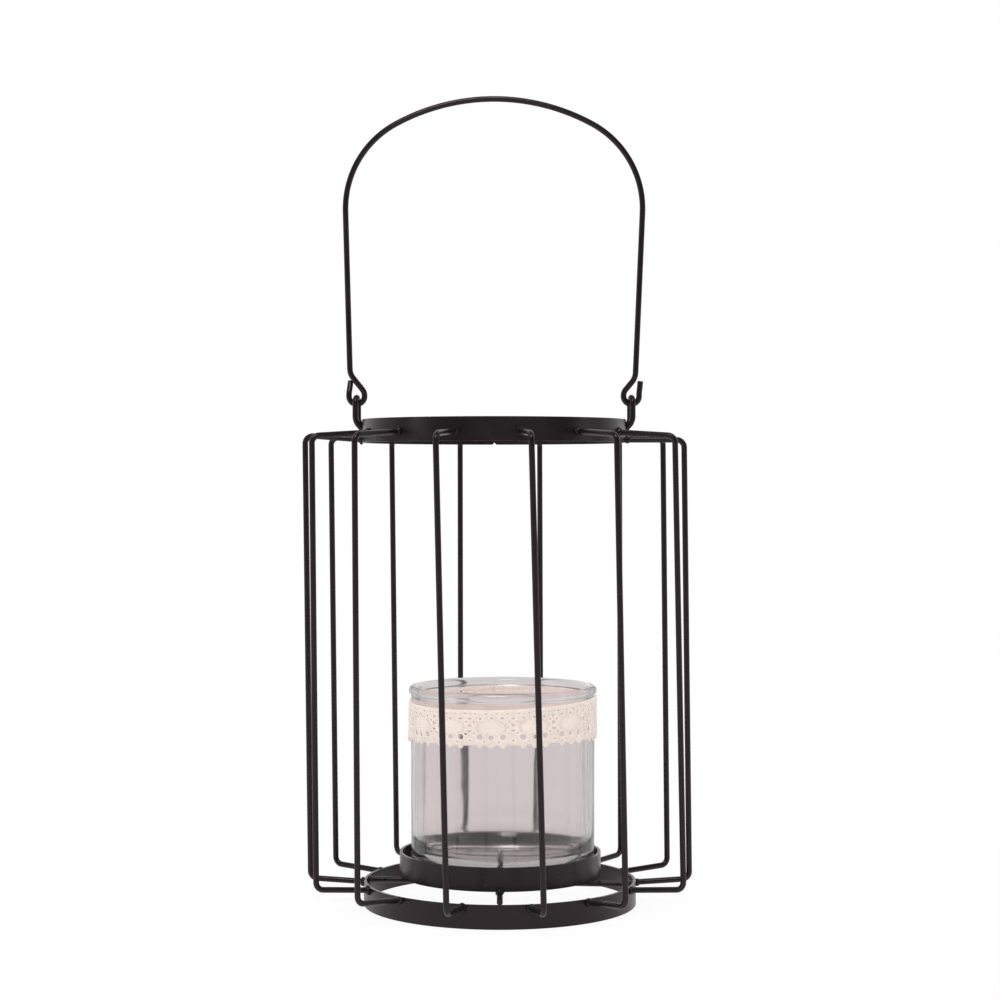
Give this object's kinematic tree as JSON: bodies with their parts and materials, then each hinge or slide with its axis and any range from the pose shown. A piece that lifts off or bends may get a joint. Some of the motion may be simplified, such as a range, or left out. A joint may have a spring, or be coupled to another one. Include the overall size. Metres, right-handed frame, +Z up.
{
  "type": "candle lantern",
  "caption": "Round black wire-cage candle lantern with flat hoops at top and bottom, a lace-trimmed clear glass jar for the candle and a swinging wire bail.",
  "frame": {"origin": "under the middle of the lantern, on the surface that it stands on", "axes": "+Z up, the front faces -Y, the bail's hinge line lies along X"},
  "size_m": [0.203, 0.1966, 0.4194],
  "materials": {
    "black_paint": "satin black paint",
    "clear_glass": "clear, slightly wavy",
    "cotton_lace": "cream cotton lace"
  },
  "bodies": {
    "frame": {"top_ring": "black_paint", "bottom_ring": "black_paint", "cup_ring": "black_paint", "lower_cross_rod": "black_paint", "upper_cross_rod": "black_paint", "cage_wire_01": "black_paint", "cage_wire_02": "black_paint", "cage_wire_03": "black_paint", "cage_wire_04": "black_paint", "cage_wire_05": "black_paint", "cage_wire_06": "black_paint", "cage_wire_07": "black_paint", "cage_wire_08": "black_paint", "cage_wire_09": "black_paint", "cage_wire_10": "black_paint", "cage_wire_11": "black_paint", "cage_wire_12": "black_paint", "cage_wire_13": "black_paint", "cage_wire_14": "black_paint", "eye_left": "black_paint", "eye_right": "black_paint"},
    "bail": {"bail": "black_paint"},
    "jar": {"glass_jar": "clear_glass", "lace_band": "cotton_lace"}
  },
  "joints": [
    {"name": "bail_swing", "type": "hinge", "parent": "frame", "child": "bail", "pos_m": [-0.0015, 0, 0.2594], "axis": [1, 0, 0], "range_deg": [-105, 105]},
    {"name": "jar_lift", "type": "slide", "parent": "frame", "child": "jar", "axis": [0, 0, 1], "range_m": [0, 0.24]}
  ]
}
